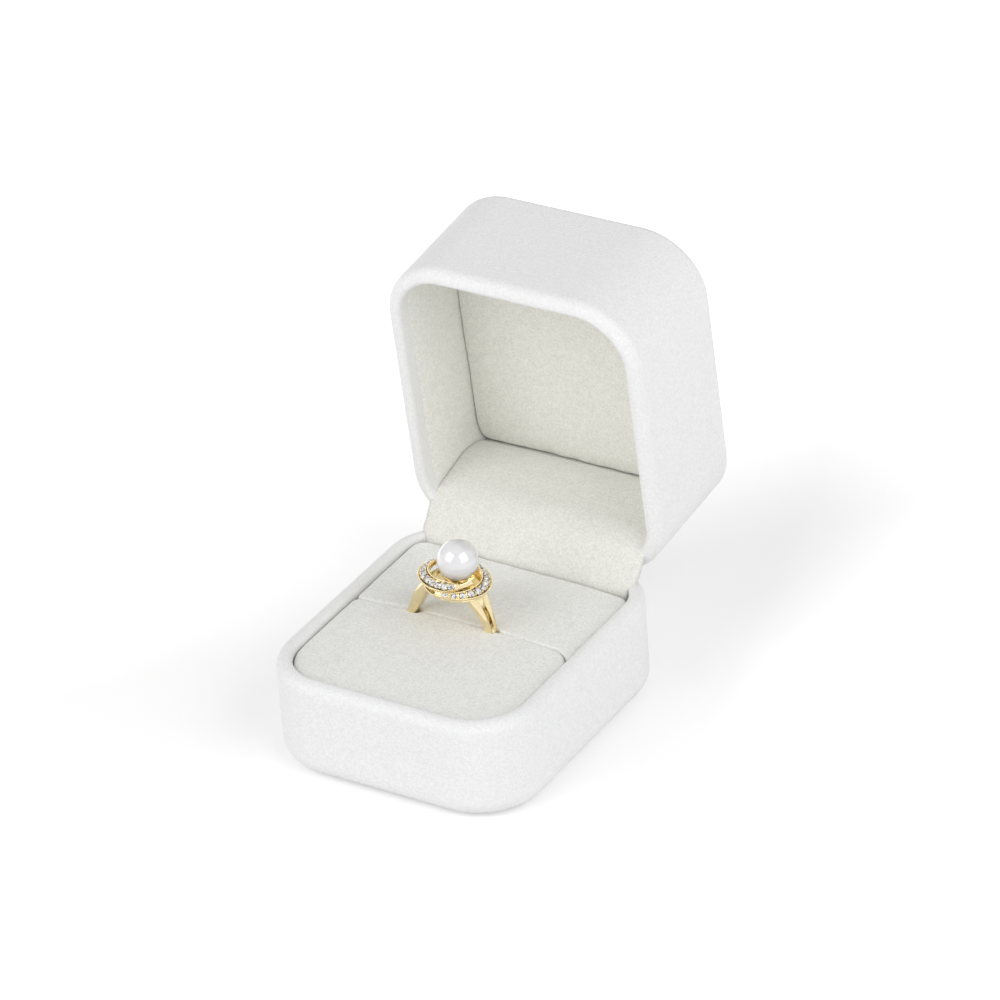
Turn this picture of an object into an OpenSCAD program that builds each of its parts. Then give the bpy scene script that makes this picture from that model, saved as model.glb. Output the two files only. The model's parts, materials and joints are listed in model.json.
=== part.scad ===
// Hinged display box for one ring, lid standing open, with a pearl ring in its padded slit.
// Millimetres. Z is up, the front of the box faces -Y, and the origin is under the middle of the base.
// The box is a moulded core wrapped in soft leathercloth whose edges turn over round rims.

/* [Box] */
// Width of the box, side to side
box_w = 50; // [46:0.5:60]
// Depth of the box, front to back
box_d = 56; // [52:0.5:66]
// Height of the closed box
box_h = 45.4; // [42:0.2:54]
// Height of the base's rim above the table
base_h = 19.4; // [18.4:0.2:23]
// Gap between the two rims when the box is closed
seam_gap = 0.5; // [0.3:0.05:0.8]
// Plan radius of the two front corners
front_r = 11.9; // [9:0.1:14]
// Plan radius of the two rear corners
rear_r = 10.8; // [9:0.1:13]
// Radius of the base's lower edge
foot_edge_r = 3.6; // [2:0.1:4]
// Radius of the lid's top edge
top_edge_r = 1.5; // [1.2:0.1:3]

/* [Walls] */
// Thickness of the leathercloth
skin_t = 0.6; // [0.4:0.05:0.8]
// Wall thickness of the moulded core
core_t = 1.6; // [1.2:0.1:2.2]
// Floor and ceiling thickness of the moulded core
plate_t = 1.4; // [1.2:0.1:1.8]
// Outer radius of the rolled rims
rim_r = 2; // [1.8:0.1:2.2]
// How far the leathercloth turns down inside the base
base_turn_in = 10.5; // [9:0.5:12]
// How far the leathercloth turns up inside the lid
lid_turn_in = 3; // [2:0.25:5]
// How far the leathercloth turns in under the base
foot_turn_in = 8; // [6.5:0.5:9]
// Thickness of the sheet under the base
sheet_t = 0.4; // [0.3:0.1:0.8]
// Inset of that sheet from the sides of the base
sheet_inset = 4.5; // [4:0.25:6]

/* [Opening] */
// How far the lid stands open
open_angle = 83.9; // [0:0.1:83.9]
// Distance of the hinge pin inside the rear face
pin_inset = 1.4; // [1.3:0.05:1.5]

/* [Hinge] */
// Radius of the hinge pin
pin_r = 0.5; // [0.4:0.05:0.6]
// Radial clearance of the pin in its knuckles
pin_fit = 0.05; // [0.03:0.01:0.08]
// Outer radius of the knuckles
knuckle_r = 1.05; // [1:0.05:1.1]
// Length of the whole hinge
hinge_w = 24; // [20:0.5:26]
// End gap between neighbouring knuckles
knuckle_gap = 0.15; // [0.1:0.05:0.3]
// Thickness of the hinge leaves
leaf_t = 0.6; // [0.5:0.05:0.8]
// Height of each hinge leaf
leaf_h = 8.8; // [8:0.2:9.6]
// Clearance of the rims round the knuckles
recess_fit = 0.25; // [0.2:0.05:0.3]
// Radius of the rivets' shanks
rivet_r = 0.55; // [0.5:0.05:0.7]
// Radius of the rivets' heads
rivet_head_r = 1.1; // [0.9:0.05:1.3]
// Height of the rivets' heads
rivet_head_t = 0.4; // [0.3:0.05:0.5]

/* [Pads] */
// Clearance of the pads inside the walls
pad_fit = 0.3; // [0.2:0.05:0.5]
// Height of the rim above the pads' edge
pad_drop = 1.2; // [0.8:0.1:2]
// Rise of the pads' crown over their edge
pad_crown = 0.9; // [0.5:0.1:1.2]
// Radius of the pads' upper edge
pad_edge_r = 0.9; // [0.6:0.1:1.6]
// Distance of the slit's middle from the box's middle
slit_y = 1; // [-3:0.25:3]
// Width of the slit between the pads
slit_w = 0.6; // [0.4:0.1:1]
// Distance of the rear pad's rear edge from the rear face
pad_rear_inset = 6.6; // [6.4:0.1:7.2]
// Thickness of the card under the pads
card_t = 0.8; // [0.5:0.1:1.2]
// Depth of the lid's padded panel below the lid's rim
panel_depth = 17.8; // [14:0.2:18.4]
// Crown of the lid's padded panel
panel_crown = 0.5; // [0.3:0.1:0.8]
// Distance of the panel's rear edge from the rear face
panel_rear_inset = 6.9; // [6.7:0.1:7.4]

/* [Flap] */
// Width of the cloth flap that covers the hinge
flap_w = 39; // [36:0.2:39.2]
// Thickness of the flap
flap_t = 0.8; // [0.6:0.1:0.9]

/* [Ring] */
// Inner radius of the ring's shank
finger_r = 8.6; // [7.5:0.1:9.2]
// Radial thickness of the shank
shank_t = 1.6; // [1.2:0.1:1.8]
// Width of the shank
shank_w = 2; // [1.6:0.1:2.4]
// Clearance of the pocket on each side of the shank
pocket_fit = 0.25; // [0.15:0.05:0.4]
// Distance of the ring's middle from the box's middle
ring_x = -2.2; // [-4:0.2:4]
// Lean of the ring in its slit
ring_lean = 6.5; // [0:0.5:8]
// Height of the halo's middle over the finger hole's centre
halo_z = 15.7; // [15:0.1:16.2]
// Radius of the halo's middle line
halo_r = 5.4; // [4.9:0.1:5.6]
// How far the halo stands to the left of the pearl's axis
halo_left = 0.4; // [0:0.1:0.5]
// Width of each halo band
band_w = 2.2; // [1.8:0.1:2.4]
// Thickness of each halo band
band_t = 0.8; // [0.6:0.1:1]
// Number of stones set in each band
band_stones = 14; // [9:1:15]
// Radius of one stone
stone_r = 0.5; // [0.4:0.05:0.55]
// Radius of the pearl
pearl_r = 3.6; // [3.2:0.1:3.8]
// Height of the pearl's centre over the halo's middle
pearl_rise = 3; // [2.8:0.1:4.2]
// Radius of the pearl's post
post_r = 0.4; // [0.3:0.05:0.5]

/* [Hidden] */
curve = 48;
fine = 24;
more = 1;

// Inner face of the finished wall, measured in from the outer face
core_inset = skin_t;
lining_inset = skin_t + core_t;
inner_inset = lining_inset + skin_t;
floor_t = skin_t + plate_t;

// Heights in the base
foot_z = sheet_t;
floor_z = foot_z + floor_t;
card_top = floor_z + card_t;
pad_edge_z = base_h - pad_drop;

// Heights in the closed lid
lid_rim_z = base_h + seam_gap;
lid_h = box_h - lid_rim_z;
ceiling_z = box_h - floor_t;
panel_z = lid_rim_z + panel_depth;

// Hinge line
pin_y = box_d / 2 - pin_inset;
pin_z = base_h + seam_gap / 2;
bore_r = pin_r + pin_fit;
recess_r = knuckle_r + recess_fit;
leaf_y = box_d / 2 - inner_inset;
knuckle_w = hinge_w / 5;
leaf_far = leaf_h + seam_gap / 2;
web_low = 0.4;
web_high = 1;
rivet_far = 7;
rivet_x = 8;
rivet_grip = leaf_t + skin_t + core_t / 2;
rivet_fit = 0.05;

// Pads
pad_side = inner_inset + pad_fit;
front_pad_y = -box_d / 2 + pad_side;
slit_front_y = slit_y - slit_w / 2;
slit_rear_y = slit_y + slit_w / 2;
rear_pad_y = box_d / 2 - pad_rear_inset;
slit_corner_r = 1.2;
tuck_corner_r = 4;

// Ring
outer_r = finger_r + shank_t;
pocket_r = outer_r + 0.4;
pocket_w = shank_w + 2 * pocket_fit;
ring_clear = 0.3;
ring_z = floor_z + ring_clear + outer_r;
pearl_z = halo_z + pearl_rise;
pearl_fit = 0.03;
stone_fit = 0.02;
stone_girdle_h = 0.18;
stone_crown_h = 0.2;
dome = 1.2;
fork_angle = 36;
prong_w = 0.75;
prong_y = 0.68;
prong_mid_y = 1;
prong_top_y = 2.4;
shoulder_in = 1.45;
shoulder_up = -0.5;
shoulder_seat_in = 1.7;
fork_foot = 0.45;
bridge_from = 0.66;
bridge_to = 0.84;
shoulder_tip_r = 0.4;
rail_t = 0.45;
rail_out = 0.3;
cup_t = 0.35;
cup_r = 2.1;
stem_r = 0.9;
spoke_w = 0.6;
spoke_t = 0.4;
post_short = 1.2;
band_from = -105;
band_to = 160;
band_steps = 44;
band_swirl_r = 0.9;
band_climb_h = 0.95;
band_sink_h = 0.25;
band_tail_h = 1.2;
band_tail_from = 0.8;
stones_from = 0.07;
stones_to = 0.78;
band_tilt = 32.7;
band_low = band_sink_h + band_climb_h * 0.3 + sin(band_tilt) * band_w / 2 + cos(band_tilt) * band_t;
rail_z = halo_z - band_low - stone_fit;

// ---- helpers -------------------------------------------------------------

module quarter(x, y, r, sx, sy) {
    // Quarter disc that fills the quadrant sx, sy of a circle
    translate([x, y])
        intersection() {
            circle(r = r, $fn = curve);
            translate([sx > 0 ? 0 : -r - more, sy > 0 ? 0 : -r - more]) square(r + more);
        }
}

module wall_section(inset, in_to, height, edge_r, plate_top, reach) {
    // Section of a wall that stands on a plate. The outer face is x = 0 and the table is y = 0.
    // inset moves the outer face in, in_to is the inner face, plate_top is the height of the plate's
    // upper face, and reach is how far the plate runs in.
    out_r = rim_r - inset;
    in_r = in_to - rim_r;
    crest = height - rim_r + out_r;
    quarter(-rim_r, height - rim_r, out_r, 1, 1);
    quarter(-rim_r, crest - in_r, in_r, -1, 1);
    translate([-in_to, edge_r]) square([in_r, crest - in_r - edge_r]);
    translate([-rim_r, edge_r]) square([out_r, height - rim_r - edge_r]);
    difference() {
        union() {
            quarter(-edge_r, edge_r, edge_r - inset, 1, -1);
            if (in_to > edge_r)
                translate([-in_to, inset]) square([in_to - edge_r, edge_r - inset]);
        }
        if (in_to < edge_r)
            translate([-edge_r - more, plate_top]) square([edge_r + more - in_to, edge_r]);
    }
    translate([-reach, inset]) square([reach - edge_r, plate_top - inset]);
}

module go_round(front, rear) {
    // Carries a wall section round the box's plan. The children's x = 0 lies on the outer face.
    half_w = box_w / 2;
    half_d = box_d / 2;
    for (side = [0, 1]) {
        mirror([side, 0, 0]) {
            translate([half_w - rear, half_d - rear, 0])
                rotate_extrude(angle = 90, $fn = curve) translate([rear, 0]) children();
            translate([half_w - front, front - half_d, 0])
                rotate([0, 0, -90]) rotate_extrude(angle = 90, $fn = curve) translate([front, 0]) children();
            translate([half_w, half_d - rear, 0])
                rotate([90, 0, 0]) linear_extrude(box_d - front - rear) children();
        }
    }
    translate([front - half_w, -half_d, 0])
        rotate([90, 0, -90]) mirror([0, 0, 1]) linear_extrude(box_w - 2 * front) children();
    translate([half_w - rear, half_d, 0])
        rotate([90, 0, 90]) mirror([0, 0, 1]) linear_extrude(box_w - 2 * rear) children();
}

module plan(inset, rear_edge = box_d / 2, rear_corner = rear_r) {
    // Plan outline of the box, moved in by inset
    x = box_w / 2 - inset;
    y0 = inset - box_d / 2;
    y1 = min(rear_edge, box_d / 2 - inset);
    fr = front_r - inset;
    rr = rear_corner - inset;
    for (side = [-1, 1]) {
        translate([side * (x - fr), y0 + fr]) circle(r = fr, $fn = curve);
        translate([side * (x - rr), y1 - rr]) circle(r = rr, $fn = curve);
    }
    translate([-x, y0 + fr]) square([2 * x, y1 - rr - y0 - fr]);
    translate([fr - x, y0]) square([2 * (x - fr), fr]);
    translate([rr - x, y1 - rr]) square([2 * (x - rr), rr]);
}

module lid_turned() {
    // Turns a piece of the closed lid about the hinge pin to where it stands open
    translate([0, pin_y, pin_z])
        rotate([-open_angle, 0, 0])
            translate([0, -pin_y, -pin_z]) children();
}

module lid_upside() {
    // Places a wall drawn standing on the table as a wall that hangs from the top of the closed lid
    translate([0, 0, box_h]) mirror([0, 0, 1]) children();
}

module hinge_recess() {
    // Room that the knuckles and webs need in the rear rims
    translate([-hinge_w / 2 - recess_fit, pin_y, pin_z])
        rotate([0, 90, 0]) cylinder(r = recess_r, h = hinge_w + 2 * recess_fit, $fn = fine);
    translate([-hinge_w / 2 - recess_fit, leaf_y - leaf_t - recess_fit, pin_z - recess_r])
        cube([hinge_w + 2 * recess_fit, pin_y - leaf_y + leaf_t + recess_fit, 2 * recess_r]);
}

module rivet_pair(r, from_y, to_y) {
    // Two cylinders along Y at the base leaf's rivet places
    for (side = [-1, 1])
        translate([side * rivet_x, from_y, pin_z - rivet_far])
            rotate([-90, 0, 0]) cylinder(r = r, h = to_y - from_y, $fn = fine);
}

module lid_side() {
    // Mirrors a piece of the base's half of the hinge to the lid's half
    translate([0, 0, 2 * pin_z]) mirror([0, 0, 1]) children();
}

// Corner points of a rounded rectangle, corner by corner: rear right, rear left, front left, front right
function outline(x0, x1, y0, y1, r, n) = [
    for (c = [0:3]) for (i = [0:n])
        let (
            q = max(r[c], 0.05),
            cx = (c == 0 || c == 3) ? x1 - q : x0 + q,
            cy = (c < 2) ? y1 - q : y0 + q,
            a = 90 * (c + i / n)
        )
        [cx + q * cos(a), cy + q * sin(a)]
];

// One level of a cushion: its outline moved in by inset and cut straight behind rear, at height z
function level(b, r, rear, n, inset, z) = [
    for (p = outline(b[0] + inset, b[1] - inset, b[2] + inset, b[3] - inset, [for (q = r) q - inset], n))
        [p[0], min(p[1], rear - inset), z]
];

// Faces between the levels of a closed stack, with a cap at each end
function stack_faces(count, n) = concat(
    [[for (i = [0:n - 1]) i]],
    [for (k = [0:count - 2]) for (i = [0:n - 1]) [k * n + i, (k + 1) * n + i, (k + 1) * n + (i + 1) % n]],
    [for (k = [0:count - 2]) for (i = [0:n - 1]) [k * n + i, (k + 1) * n + (i + 1) % n, k * n + (i + 1) % n]],
    [[for (i = [n - 1:-1:0]) (count - 1) * n + i]]
);

module cushion(b, r, rear, low, edge_z, edge_r, crown) {
    // A padded block in the box b = [x0, x1, y0, y1], cut straight at y = rear, with a rounded upper
    // edge and a crowned top
    n = 7;
    arcs = 4;
    rings = 6;
    deep = min(b[1] - b[0], rear - b[2]) / 2 - 1;
    levels = concat(
        [level(b, r, rear, n, 0.25, low)],
        [level(b, r, rear, n, 0, low + 1)],
        [for (k = [0:arcs])
            let (a = 90 * k / arcs)
            level(b, r, rear, n, edge_r * (1 - cos(a)), edge_z - edge_r * (1 - sin(a)))],
        [for (k = [1:rings])
            let (f = k / rings)
            level(b, r, rear, n, edge_r + (deep - edge_r) * f, edge_z + crown * (1 - pow(1 - f, 2)))]
    );
    per = 4 * (n + 1);
    polyhedron([for (l = levels) for (p = l) p], stack_faces(len(levels), per), convexity = 4);
}

// ---- base ----------------------------------------------------------------

module base_core() {
    // Moulded tray that carries the base
    color([0.86, 0.86, 0.84])
        difference() {
            translate([0, 0, foot_z]) {
                go_round(front_r, rear_r)
                    wall_section(core_inset, lining_inset, base_h - foot_z,
                                 foot_edge_r, floor_t, foot_turn_in);
                translate([0, 0, skin_t]) linear_extrude(plate_t) plan(foot_turn_in - more);
            }
            hinge_recess();
            rivet_pair(rivet_r + rivet_fit, leaf_y - more, leaf_y - leaf_t + rivet_grip + rivet_fit);
        }
}

module base_cover() {
    // Leathercloth wrapped round the base, over its rim and in under its foot
    rim_top = base_h - foot_z;
    color([0.95, 0.95, 0.94])
        difference() {
            translate([0, 0, foot_z])
                go_round(front_r, rear_r)
                    difference() {
                        wall_section(0, inner_inset, rim_top, foot_edge_r, floor_t, foot_turn_in);
                        wall_section(core_inset, lining_inset, rim_top, foot_edge_r, floor_t, foot_turn_in);
                        translate([-inner_inset - more, floor_t])
                            square([skin_t + more, rim_top - floor_t - base_turn_in]);
                    }
            hinge_recess();
            rivet_pair(rivet_r + rivet_fit, leaf_y - more, leaf_y + skin_t + more);
        }
}

module base_sheet() {
    // Soft sheet that the box stands on
    color([0.9, 0.9, 0.88])
        linear_extrude(sheet_t) plan(sheet_inset);
}

module insert_card() {
    // Card under the pads, cut out for the foot of the ring
    color([0.93, 0.93, 0.9])
        difference() {
            translate([0, 0, floor_z])
                linear_extrude(card_t) plan(pad_side, rear_pad_y, tuck_corner_r + pad_side);
            translate([ring_x - pocket_r, slit_y - pocket_w / 2, floor_z - more])
                cube([2 * pocket_r, pocket_w, card_t + 2 * more]);
        }
}

module ring_pocket() {
    // Room between the pads for the buried half of the ring
    translate([ring_x - pocket_r, slit_y - pocket_w / 2, floor_z])
        cube([2 * pocket_r, pocket_w, box_h]);
}

module pad_front() {
    // Velvet-covered pad in front of the slit. Its rear right corner is pulled back.
    r = front_r - pad_side;
    color([0.94, 0.94, 0.92])
        difference() {
            cushion([pad_side - box_w / 2, box_w / 2 - pad_side, front_pad_y, slit_front_y],
                    [tuck_corner_r, slit_corner_r, r, r], slit_front_y,
                    card_top, pad_edge_z, pad_edge_r, pad_crown);
            ring_pocket();
        }
}

module pad_rear() {
    // Velvet-covered pad behind the slit. It follows the tray's rear corners up to the flap.
    r = rear_r - pad_side;
    color([0.94, 0.94, 0.92])
        difference() {
            cushion([pad_side - box_w / 2, box_w / 2 - pad_side, slit_rear_y, box_d / 2 - pad_side],
                    [r, r, slit_corner_r, slit_corner_r], rear_pad_y,
                    card_top, pad_edge_z, pad_edge_r, pad_crown);
            ring_pocket();
        }
}

// Middle line of the flap in [distance in from the rear face, height over the base's rim] from behind
// the rear pad up to its bend, then [height over the lid's rim, distance in from the rear face] from
// the bend to behind the lid's panel
flap_low = [[5.8, -7], [5.8, -1.6], [4.9, 0.4], [3.5, 2], [1.7, 4.5], [0.1, 5.7]];
flap_high = [[3.6, 7.3], [6.7, 7.5], [10.3, 7.8], [13.4, 7.7], [15.8, 7.1], [17.6, 6.3], [20.8, 5.9]];

function open_point(u, d) =
    let (y = pin_inset - d, z = u + seam_gap / 2, a = -open_angle)
    [pin_y + y * cos(a) - z * sin(a), pin_z + y * sin(a) + z * cos(a)];

flap_line = concat(
    [for (p = flap_low) [box_d / 2 - p[0], base_h + p[1]]],
    [for (p = flap_high) open_point(p[0], p[1])]
);

function unit(v) = v / norm(v);
function line_side(l, i, t) =
    let (d = unit(l[min(i + 1, len(l) - 1)] - l[max(i - 1, 0)]))
    l[i] + t / 2 * [-d[1], d[0]];

module hinge_flap() {
    // Velvet flap from behind the rear pad, over the hinge and up behind the lid's panel
    last = len(flap_line) - 1;
    color([0.93, 0.93, 0.89])
        translate([-flap_w / 2, 0, 0])
            rotate([90, 0, 90])
                linear_extrude(flap_w)
                    polygon(concat(
                        [for (i = [0:last]) line_side(flap_line, i, -flap_t)],
                        [for (i = [last:-1:0]) line_side(flap_line, i, flap_t)]
                    ));
}

// ---- hinge ---------------------------------------------------------------

module knuckles(places) {
    for (k = places)
        translate([-hinge_w / 2 + k * knuckle_w + knuckle_gap / 2, pin_y, pin_z])
            rotate([0, 90, 0]) cylinder(r = knuckle_r, h = knuckle_w - knuckle_gap, $fn = fine);
}

module webs(places) {
    // Bent strips that join the leaf to its knuckles
    for (k = places)
        translate([-hinge_w / 2 + k * knuckle_w + knuckle_gap / 2, leaf_y - leaf_t, pin_z - web_high])
            cube([knuckle_w - knuckle_gap, pin_y - leaf_y + leaf_t, web_high - web_low]);
}

module leaf(places) {
    difference() {
        union() {
            translate([-hinge_w / 2, leaf_y - leaf_t, pin_z - leaf_far])
                cube([hinge_w, leaf_t, leaf_far - web_low]);
            knuckles(places);
            webs(places);
        }
        translate([-hinge_w / 2 - more, pin_y, pin_z])
            rotate([0, 90, 0]) cylinder(r = bore_r, h = hinge_w + 2 * more, $fn = fine);
        rivet_pair(rivet_r + rivet_fit, leaf_y - leaf_t - more, leaf_y + more);
    }
}

module rivets() {
    rivet_pair(rivet_head_r, leaf_y - leaf_t - rivet_head_t, leaf_y - leaf_t);
    rivet_pair(rivet_r, leaf_y - leaf_t - rivet_head_t, leaf_y - leaf_t + rivet_grip);
}

module hinge_leaf_base() {
    // Steel leaf inside the base's rear wall, with three knuckles
    color([0.7, 0.71, 0.73]) leaf([0, 2, 4]);
}

module hinge_leaf_lid() {
    // Steel leaf inside the lid's rear wall, with two knuckles
    color([0.7, 0.71, 0.73]) lid_turned() lid_side() leaf([1, 3]);
}

module hinge_pin() {
    // Pin through all five knuckles
    color([0.78, 0.79, 0.8])
        translate([-hinge_w / 2, pin_y, pin_z])
            rotate([0, 90, 0]) cylinder(r = pin_r, h = hinge_w, $fn = fine);
}

module rivets_base() {
    // Rivets that hold the base leaf
    color([0.75, 0.76, 0.78]) rivets();
}

module rivets_lid() {
    // Rivets that hold the lid leaf
    color([0.75, 0.76, 0.78]) lid_turned() lid_side() rivets();
}

// ---- lid -----------------------------------------------------------------

module lid_core() {
    // Moulded shell that carries the lid
    color([0.86, 0.86, 0.84])
        lid_turned()
            difference() {
                lid_upside() {
                    go_round(front_r, rear_r)
                        wall_section(core_inset, lining_inset, lid_h,
                                     top_edge_r, floor_t, foot_turn_in);
                    translate([0, 0, skin_t]) linear_extrude(plate_t) plan(foot_turn_in - more);
                }
                hinge_recess();
                lid_side()
                    rivet_pair(rivet_r + rivet_fit, leaf_y - more, leaf_y - leaf_t + rivet_grip + rivet_fit);
            }
}

module lid_cover() {
    // Leathercloth over the whole lid, turned in over its rim
    color([0.95, 0.95, 0.94])
        lid_turned()
            difference() {
                lid_upside() {
                    go_round(front_r, rear_r)
                        difference() {
                            wall_section(0, inner_inset, lid_h, top_edge_r, floor_t, foot_turn_in);
                            wall_section(core_inset, lining_inset, lid_h, top_edge_r, floor_t, foot_turn_in);
                            translate([-inner_inset - more, floor_t])
                                square([skin_t + more, lid_h - floor_t - lid_turn_in]);
                        }
                    linear_extrude(skin_t) plan(foot_turn_in - more);
                }
                hinge_recess();
            }
}

module lid_lining() {
    // Velvet round the inside of the lid's walls
    low = lid_rim_z + lid_turn_in;
    color([0.92, 0.93, 0.91])
        lid_turned()
            difference() {
                translate([0, 0, low])
                    go_round(front_r, rear_r)
                        translate([-inner_inset, 0]) square([skin_t, ceiling_z - low]);
                lid_side() rivet_pair(rivet_r + rivet_fit, leaf_y - more, leaf_y + skin_t + more);
            }
}

module lid_card() {
    // Card that the lid's padded panel is wrapped on
    color([0.93, 0.93, 0.9])
        lid_turned()
            translate([0, 0, ceiling_z - card_t])
                linear_extrude(card_t)
                    plan(pad_side, box_d / 2 - panel_rear_inset, tuck_corner_r + pad_side);
}

module lid_panel() {
    // Padded velvet panel inside the lid
    r = front_r - pad_side;
    color([0.92, 0.92, 0.88])
        lid_turned()
            translate([0, 0, ceiling_z - card_t])
                mirror([0, 0, 1])
                    cushion([pad_side - box_w / 2, box_w / 2 - pad_side,
                             pad_side - box_d / 2, box_d / 2 - pad_side],
                            [rear_r - pad_side, rear_r - pad_side, r, r], box_d / 2 - panel_rear_inset,
                            0, ceiling_z - card_t - panel_z, pad_edge_r, panel_crown);
}

// ---- ring ----------------------------------------------------------------

module ring_placed() {
    // The ring's own frame: centre of the finger hole, shank in the XZ plane, pearl towards +Z
    translate([ring_x, slit_y, ring_z]) rotate([0, ring_lean, 0]) children();
}

module shank_section() {
    // Flat inside, gently rounded outside
    intersection() {
        translate([finger_r, -shank_w / 2]) square([shank_t, shank_w]);
        translate([finger_r - dome, 0]) circle(r = shank_t + dome, $fn = curve);
    }
}

module strap(from, to) {
    // Tapered strap between two bars along Y. Each bar is [x, y, z, radius, length].
    hull() {
        for (b = [from, to])
            translate([b[0], b[1], b[2]])
                rotate([90, 0, 0]) cylinder(r = b[3], h = b[4], center = true, $fn = 16);
    }
}

// Bar of the bridge between the prongs, at the share f of the way from their middle to the rail
function bridge_bar(f, from, to) =
    let (y = prong_mid_y + f * (prong_top_y - prong_mid_y))
    [from[0] + f * (to[0] - from[0]), 0, from[1] + f * (to[1] - from[1]), shoulder_tip_r, 2 * y];

module ring_shank() {
    // Polished shank with a plain left shoulder and a forked right one, under a rail for the head
    root_x = (finger_r + shank_t / 2) * cos(fork_angle);
    root_z = (finger_r + shank_t / 2) * sin(fork_angle);
    mid_x = root_x - shoulder_in;
    mid_z = (root_z + rail_z) / 2 + shoulder_up;
    thick = shank_t / 2;
    seat_x = halo_r - shoulder_seat_in;
    seat_z = rail_z - shoulder_tip_r - stone_fit;
    foot_x = root_x - fork_foot * shoulder_in;
    foot_top_z = root_z + fork_foot * (mid_z - root_z);
    color([0.88, 0.72, 0.4])
        ring_placed() {
            rotate([90, 0, 0])
                rotate([0, 0, 180 - fork_angle])
                    rotate_extrude(angle = 180 + 2 * fork_angle, $fn = 96) shank_section();
            strap([-root_x, 0, root_z, thick, shank_w], [-mid_x, 0, mid_z, thick * 0.85, shank_w * 1.15]);
            strap([-mid_x, 0, mid_z, thick * 0.85, shank_w * 1.15],
                  [-seat_x, 0, seat_z, shoulder_tip_r, shank_w * 1.7]);
            strap([root_x, 0, root_z, thick, shank_w], [foot_x, 0, foot_top_z, thick * 0.9, prong_y * 2]);
            for (side = [-1, 1]) {
                strap([root_x, side * prong_y, root_z, thick, prong_w],
                      [mid_x, side * prong_mid_y, mid_z, thick * 0.8, prong_w]);
                strap([mid_x, side * prong_mid_y, mid_z, thick * 0.8, prong_w],
                      [seat_x, side * prong_top_y, seat_z, shoulder_tip_r, prong_w]);
            }
            strap(bridge_bar(bridge_from, [mid_x, mid_z], [seat_x, seat_z]),
                  bridge_bar(bridge_to, [mid_x, mid_z], [seat_x, seat_z]));
            translate([0, 0, rail_z - rail_t])
                difference() {
                    cylinder(r = halo_r + rail_out, h = rail_t, $fn = curve);
                    translate([0, 0, -more])
                        cylinder(r = halo_r - shoulder_seat_in - 0.1, h = rail_t + 2 * more, $fn = curve);
                }
        }
}

// Path of one halo band, seen from above: it starts low outside the other band's tail, runs round its
// own side of the pearl, and its tail rises inside the other band's start
function tail(f) = max(0, (f - band_tail_from) / (1 - band_tail_from));
function band_angle(f) = band_from + (band_to - band_from) * f;
function band_mid(f) =
    let (a = band_angle(f), r = halo_r + band_swirl_r * cos(180 * f))
    [r * cos(a), r * sin(a), band_climb_h * (f - 0.5) - band_sink_h + band_tail_h * pow(tail(f), 2)];
function band_half(f) = band_w / 2 * (0.3 + 0.7 * min(1, 3.2 * f, 3.2 * (1 - f)));

// Corner points of the band's section at f: inner low, outer low, outer high, inner high
function band_ring(f) =
    let (
        m = band_mid(f), a = band_angle(f), w = band_half(f), c = cos(band_tilt), s = sin(band_tilt),
        out = [cos(a) * c, sin(a) * c, -s],
        up = [cos(a) * s, sin(a) * s, c]
    )
    [m - w * out - band_t * up, m + w * out - band_t * up, m + w * out, m - w * out];

module band() {
    rings = [for (k = [0:band_steps]) band_ring(k / band_steps)];
    polyhedron([for (s = rings) for (p = s) p], stack_faces(band_steps + 1, 4), convexity = 6);
}

module band_gems() {
    // Cut stones along one band, each standing just off its face
    for (k = [0:band_stones - 1])
        let (f = stones_from + (stones_to - stones_from) * k / (band_stones - 1))
        translate(band_mid(f))
            rotate([0, 0, band_angle(f)])
                rotate([0, band_tilt, 0])
                    translate([0, 0, stone_fit]) {
                        cylinder(r1 = stone_r, r2 = stone_r * 0.9, h = stone_girdle_h, $fn = 8);
                        translate([0, 0, stone_girdle_h])
                            cylinder(r1 = stone_r * 0.9, r2 = stone_r * 0.5, h = stone_crown_h, $fn = 8);
                    }
}

module at_halo() {
    ring_placed() translate([-halo_left, 0, halo_z]) children();
}

module halo_band_right() {
    // Pave band round the front and right of the pearl
    color([0.86, 0.7, 0.38]) at_halo() band();
}

module halo_band_left() {
    // Pave band round the back and left of the pearl
    color([0.86, 0.7, 0.38]) at_halo() rotate([0, 0, 180]) band();
}

module pearl_cup() {
    // Cup that follows the pearl's underside, its post, and the spokes that stand on the shank's rail
    foot = rail_z + stone_fit;
    seat_r = pearl_r + pearl_fit;
    color([0.86, 0.7, 0.38])
        ring_placed() {
            translate([0, 0, pearl_z])
                rotate_extrude($fn = curve)
                    intersection() {
                        difference() {
                            circle(r = seat_r + cup_t, $fn = curve);
                            circle(r = seat_r, $fn = curve);
                        }
                        translate([0, -seat_r - more]) square([cup_r, seat_r]);
                    }
            translate([0, 0, foot]) cylinder(r = stem_r, h = pearl_z - seat_r - cup_t / 2 - foot, $fn = fine);
            translate([0, 0, foot]) cylinder(r = post_r, h = pearl_z - post_short - foot, $fn = fine);
            for (a = [0:60:300])
                rotate([0, 0, a])
                    translate([0, -spoke_w / 2, foot]) cube([halo_r - 0.6, spoke_w, spoke_t]);
        }
}

module stones_right() {
    // Stones of the band round the front and right of the pearl
    color([0.9, 0.93, 0.95]) at_halo() band_gems();
}

module stones_left() {
    // Stones of the band round the back and left of the pearl
    color([0.9, 0.93, 0.95]) at_halo() rotate([0, 0, 180]) band_gems();
}

module pearl() {
    // Drilled pearl on its post
    color([0.93, 0.92, 0.91])
        ring_placed()
            translate([0, 0, pearl_z])
                difference() {
                    sphere(r = pearl_r, $fn = curve);
                    translate([0, 0, -pearl_r - more])
                        cylinder(r = post_r + pearl_fit,
                                 h = pearl_r + more - post_short + pearl_fit, $fn = fine);
                }
}

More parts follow.
